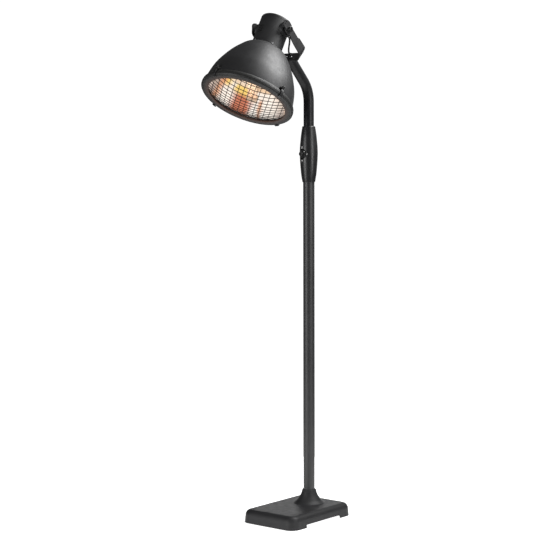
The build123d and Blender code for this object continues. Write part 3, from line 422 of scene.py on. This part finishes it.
NODE_MAT = {
    "paint": ["shade", "neck", "pivot_bosses"],
    "ring": ["front_ring"],
    "yoke": ["yoke"],
    "plastic": ["hook_brackets", "hook_right", "hook_front", "hook_left", "hook_back", "control_knob", "tilt_knob", "switch_dial", "supply_gland",
                "neck_gland", "rotary_switch", "tilt_switch"],
    "pole": ["lower_pole"],
    "tube": ["upper_pole"],
    "mould": ["base_cover", "front_skirt", "rear_skirts", "inlet_plate"],
    "collar": ["collar_cover"],
    "house": ["switch_housing", "housing_panel"],
    "steel": ["base_plate", "pole_socket", "pole_joiner", "tube_end_plug", "pivot_nut_plates", "terminal_plate"],
    "zinc": ["base_plate_screws", "socket_bolts", "grub_screws", "switch_screws", "yoke_bolts", "neck_screws",
             "shield_posts", "knob_shaft", "panel_screws", "tilt_stud"],
    "blackbolt": ["pivot_bolt", "hook_pins"],
    "washer": ["pivot_washers"],
    "iron": ["ballast_block"],
    "rubber": ["rubber_feet", "lead_grommet"],
    "fibre": ["friction_washers"],
    "reflector": ["reflector"],
    "shield": ["heat_shield"],
    "painted_glow_ceramic": ["lamp_holders", "lamp_brackets"],
    "ceramic": ["terminal_block", "supply_terminals", "thermal_cutout"],
    "quartz": ["lamp_tubes"],
    "coil": ["lamp_filaments"],
    "wire": ["grille_mesh"],
    "lead": ["head_lead"],
}
for key, names in NODE_MAT.items():
    for nm in names:
        ob = nodes[nm]
        ob.data.materials.clear()
        ob.data.materials.append(M[key])


# ---------------------------------------------------------------- mesh helpers
def mesh_object(name, verts, faces, mat, smooth=True):
    me = bpy.data.meshes.new(name)
    me.from_pydata([tuple(v) for v in verts], [], faces)
    me.update()
    for p in me.polygons:
        p.use_smooth = smooth
    ob = bpy.data.objects.new(name, me)
    bpy.context.scene.collection.objects.link(ob)
    me.materials.append(mat)
    return ob


def tube_mesh(points, radius, sides, verts, faces, closed=False):
    """Adds a round tube along points to verts and faces."""
    n = len(points)
    tang = []
    for i in range(n):
        a = points[i - 1] if (i > 0 or closed) else points[i]
        b = points[(i + 1) % n] if (i < n - 1 or closed) else points[i]
        tang.append((b - a).normalized())
    ref = Vector((0, 0, 1)) if abs(tang[0].z) < 0.9 else Vector((1, 0, 0))
    side = (ref - tang[0] * ref.dot(tang[0])).normalized()
    start = len(verts)
    for i in range(n):
        side = (side - tang[i] * side.dot(tang[i])).normalized()
        other = tang[i].cross(side)
        for k in range(sides):
            a = 2 * math.pi * k / sides
            verts.append(points[i] + side * (radius * math.cos(a)) + other * (radius * math.sin(a)))
    rings = n if closed else n - 1
    for i in range(rings):
        j = (i + 1) % n
        for k in range(sides):
            l = (k + 1) % sides
            faces.append((start + i * sides + k, start + i * sides + l, start + j * sides + l, start + j * sides + k))
    if not closed:
        faces.append(tuple(start + k for k in reversed(range(sides))))
        faces.append(tuple(start + (n - 1) * sides + k for k in range(sides)))


# ---------------------------------------------------------------- wire mesh: round wire, domed outward, in a hoop
MESH_PITCH, MESH_TURN = 18.1, math.radians(44.3)
MESH_R, MESH_BULGE = 143.0, 34.0
DOME_R = (MESH_R ** 2 + MESH_BULGE ** 2) / (2 * MESH_BULGE)
WIRE_R, WAVE = 1.2, 0.5
verts, faces = [], []
half = int(MESH_R // MESH_PITCH)
ca, sa = math.cos(MESH_TURN), math.sin(MESH_TURN)


def mesh_pt(a, b, lift):
    h = DOME_R - MESH_BULGE - math.sqrt(DOME_R ** 2 - a * a - b * b)
    return on_head(a * ca - b * sa, a * sa + b * ca, h + lift)


steps = 6
for family in (0, 1):
    for i in range(-half, half + 1):
        c = i * MESH_PITCH
        reach = math.sqrt((MESH_R + 0.8) ** 2 - c * c)
        count = max(4, int(2 * reach / (MESH_PITCH / steps)))
        pts = []
        for k in range(count + 1):
            s = -reach + 2 * reach * k / count
            sign = 1.0 if family == 0 else -1.0
            wave = sign * WAVE * math.cos(math.pi * s / MESH_PITCH) * (1 if i % 2 == 0 else -1)
            pts.append(mesh_pt(s, c, wave) if family == 0 else mesh_pt(c, s, wave))
        tube_mesh(pts, WIRE_R / 1000, 8, verts, faces)
for r, rad in ((143.6, 1.3), (151.0, 1.4)):
    hoop = []
    for k in range(120):
        a = 2 * math.pi * k / 120
        hoop.append(on_head(r * math.cos(a), r * math.sin(a), 0.3))
    tube_mesh(hoop, rad / 1000, 8, verts, faces, closed=True)
base = len(verts)
for k in range(120):
    a = 2 * math.pi * k / 120
    for r, h in ((143.6, 0.8), (151.0, 0.8), (151.0, -0.4), (143.6, -0.4)):
        verts.append(on_head(r * math.cos(a), r * math.sin(a), h))
for k in range(120):
    l = (k + 1) % 120
    for e in range(4):
        f = (e + 1) % 4
        faces.append((base + 4 * k + e, base + 4 * l + e, base + 4 * l + f, base + 4 * k + f))
grille = mesh_object("woven_grille", verts, faces, M["wire"])
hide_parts("grille_mesh")
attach(grille, "head")

# ---------------------------------------------------------------- coiled filaments
verts, faces = [], []
LT = math.radians(-54.0)
for sy in (-1, 1):
    pts = []
    turns, per = 60, 12
    for k in range(turns * per + 1):
        s = -91.0 + 182.0 * k / (turns * per)
        a = 2 * math.pi * k / per
        x, y, h = s, sy * 9.0 + 3.0 * math.cos(a), 52.0 + 3.0 * math.sin(a)
        pts.append(on_head(x * math.cos(LT) - y * math.sin(LT), x * math.sin(LT) + y * math.cos(LT), h))
    tube_mesh(pts, 0.62 / 1000, 5, verts, faces)
coils = mesh_object("wound_filaments", verts, faces, M["coil"])
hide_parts("lamp_filaments")
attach(coils, "head")

# ---------------------------------------------------------------- lead from the tube end to the neck
GLAND_Z = 27.0
route = [at_tube(10, -22), at_tube(10, 7), at_tube(10, 20), at_neck(91, GLAND_Z), at_neck(77, GLAND_Z), at_neck(44, GLAND_Z)]
cu = bpy.data.curves.new("lead_route", "CURVE")
cu.dimensions = "3D"
cu.resolution_u = 16
sp = cu.splines.new("NURBS")
sp.points.add(len(route) - 1)
for p, co in zip(sp.points, route):
    p.co = (*co, 1.0)
sp.order_u = 3
sp.use_endpoint_u = True
route_ob = bpy.data.objects.new("lead_route", cu)
bpy.context.scene.collection.objects.link(route_ob)
bpy.context.view_layer.update()
line = bpy.data.meshes.new_from_object(route_ob)
lead_pts = [v.co.copy() for v in line.vertices]
bpy.data.objects.remove(route_ob)
bpy.data.meshes.remove(line)
verts, faces = [], []
tube_mesh(lead_pts, 0.00325, 20, verts, faces)
lead = mesh_object("flex_lead", verts, faces, M["lead"])
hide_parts("head_lead")
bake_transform(lead)


# ---------------------------------------------------------------- marks printed on the housing and the knob
def housing_r(z):
    for (r0, z0), (r1, z1) in zip(HOUSING, HOUSING[1:]):
        if z0 <= z <= z1:
            f = (z - z0) / (z1 - z0)
            return r0 + (r1 - r0) * f
    return 32.0


def on_housing(s, dz, lift):
    z = DIAL_Z * 1000 + dz
    r = housing_r(z)
    a = DIAL_YAW + s / r
    r += lift
    return Vector((r * math.sin(a) / 1000, POLE_Y - r * math.cos(a) / 1000, z / 1000))


def patch(name, cells, lift, mat, body):
    """Thin raised print: cells are four-sided pieces in dial coordinates (across, up), laid on the housing."""
    verts, faces = [], []
    for quad in cells:
        b = len(verts)
        for s, dz in quad:
            verts.append(on_housing(s, dz, lift))
        for s, dz in quad:
            verts.append(on_housing(s, dz, -0.2))
        faces.append((b, b + 1, b + 2, b + 3))
        for k in range(4):
            l = (k + 1) % 4
            faces.append((b + k, b + 4 + k, b + 4 + l, b + l))
    ob = mesh_object(name, verts, faces, mat, smooth=False)
    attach(ob, body)
    return ob


def bar(cx, cy, w, h, ang=0.0, div=4):
    out = []
    for k in range(div):
        y0, y1 = -h / 2 + h * k / div, -h / 2 + h * (k + 1) / div
        q = []
        for x, y in ((-w / 2, y0), (w / 2, y0), (w / 2, y1), (-w / 2, y1)):
            q.append((cx + x * math.cos(ang) - y * math.sin(ang), cy + x * math.sin(ang) + y * math.cos(ang)))
        out.append(q)
    return out


def ring_cells(cx, cy, rx, ry, w, n=24):
    out = []
    for k in range(n):
        a0, a1 = 2 * math.pi * k / n, 2 * math.pi * (k + 1) / n
        q = []
        for a, d in ((a0, -w / 2), (a0, w / 2), (a1, w / 2), (a1, -w / 2)):
            q.append((cx + (rx + d) * math.cos(a), cy + (ry + d) * math.sin(a)))
        out.append(q)
    return out


marks = []
marks += ring_cells(0.0, 23.6, 2.6, 3.2, 1.7)
marks += bar(22.0, -1.0, 1.9, 6.4)
marks += bar(-1.6, -24.2, 1.7, 6.0) + bar(1.6, -24.2, 1.7, 6.0)
dial_marks = patch("dial_marks", marks, 0.16, M["white"], "stand")

DIAL = Vector((0.0, POLE_Y, DIAL_Z))
D_OUT = Vector((math.sin(DIAL_YAW), -math.cos(DIAL_YAW), 0.0))
D_X = Vector((math.cos(DIAL_YAW), math.sin(DIAL_YAW), 0.0))
D_Y = Vector((0, 0, 1.0))


def on_knob(x, y, z):
    return DIAL + D_X * (x / 1000) + D_Y * (y / 1000) + D_OUT * (z / 1000)


verts, faces = [], []
pa = math.radians(39.5)
outline = [(10.2, -1.5), (14.6, -1.5), (15.2, -0.9), (15.2, 0.9), (14.6, 1.5), (10.2, 1.5)]
for z in (30.5, 30.75):
    for r, t in outline:
        verts.append(on_knob(r * math.cos(pa) - t * math.sin(pa), r * math.sin(pa) + t * math.cos(pa), z))
k = len(outline)
faces.append(tuple(range(2 * k - 1, k - 1, -1))[::-1])
for i in range(k):
    j = (i + 1) % k
    faces.append((i, j, k + j, k + i))
pointer = mesh_object("knob_pointer", verts, faces, M["white"], smooth=False)
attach(pointer, "knob")

# ---------------------------------------------------------------- floor, light and camera
FLOOR_GLOW, AMBIENT = 0.9, 0.09
fm, nt, bsdf, tc = new_mat("pale_floor")
n = noise(nt, tc, 3.0, 4.0)
c = ramp(nt, n.outputs["Fac"], [(0.3, (0.90, 0.90, 0.90)), (0.7, (0.93, 0.93, 0.93))])
nt.links.new(c.outputs["Color"], bsdf.inputs["Base Color"])
nt.links.new(c.outputs["Color"], bsdf.inputs["Emission Color"])
bsdf.inputs["Emission Strength"].default_value = FLOOR_GLOW
bsdf.inputs["Roughness"].default_value = 0.9
rim = [(1.3 * math.cos(2 * math.pi * k / 96), 1.3 * math.sin(2 * math.pi * k / 96), 0.0) for k in range(96)]
floor = mesh_object("floor", rim, [tuple(range(96))], fm, smooth=False)

world = bpy.data.worlds.new("studio")
bpy.context.scene.world = world
world.use_nodes = True
wn = world.node_tree
for nd in list(wn.nodes):
    wn.nodes.remove(nd)
wout = wn.nodes.new("ShaderNodeOutputWorld")
soft = wn.nodes.new("ShaderNodeBackground")
soft.inputs["Color"].default_value = (1, 1, 1, 1)
soft.inputs["Strength"].default_value = AMBIENT
plain = wn.nodes.new("ShaderNodeBackground")
plain.inputs["Color"].default_value = (1, 1, 1, 1)
plain.inputs["Strength"].default_value = 1.05
path = wn.nodes.new("ShaderNodeLightPath")
wmix = wn.nodes.new("ShaderNodeMixShader")
wn.links.new(path.outputs["Is Camera Ray"], wmix.inputs["Fac"])
wn.links.new(soft.outputs[0], wmix.inputs[1])
wn.links.new(plain.outputs[0], wmix.inputs[2])
wn.links.new(wmix.outputs[0], wout.inputs["Surface"])


def area(name, loc, target, w, h, power, colour=(1, 1, 1)):
    li = bpy.data.lights.new(name, "AREA")
    li.shape = "RECTANGLE"
    li.size, li.size_y = w, h
    li.energy = power
    li.color = colour
    ob = bpy.data.objects.new(name, li)
    bpy.context.scene.collection.objects.link(ob)
    ob.location = loc
    d = Vector(target) - Vector(loc)
    ob.rotation_euler = d.to_track_quat("-Z", "Y").to_euler()
    return ob


area("key_softbox", (1.1, 1.25, 3.3), (0.05, -0.02, 1.65), 1.7, 1.7, 130)
area("back_panel", (-2.2, 3.3, 0.75), (0.0, 0.1, 0.2), 3.2, 1.3, 26).visible_camera = False
area("right_strip", (3.4, POLE_Y - 0.24, 1.6), (0, POLE_Y, 1.25), 0.8, 2.0, 42)
area("front_strip", (-1.0, -3.4, 1.3), (0, 0.1, 1.0), 1.0, 2.6, 70)

cam = bpy.data.cameras.new("camera")
cam.sensor_fit = "HORIZONTAL"
cam.sensor_width = 36.0
cam.lens = 1504.49 / 550.0 * 36.0
cam.clip_end = 100.0
cam_ob = bpy.data.objects.new("camera", cam)
bpy.context.scene.collection.objects.link(cam_ob)
right = Vector((0.7726, 0.6349, 0.0)).normalized()
look = Vector((-0.63338, 0.77075, -0.06906)).normalized()
up = right.cross(look).normalized()
eye = Vector((3.4106, POLE_Y - 4.3491, 1.278)) + right * 0.0015
right = (right - up * 0.00257).normalized()
up = right.cross(look).normalized()
m = Matrix((right, up, -look)).transposed().to_4x4()
m.translation = eye
cam_ob.matrix_world = m
bpy.context.scene.camera = cam_ob
bpy.context.scene.view_settings.view_transform = "Standard"
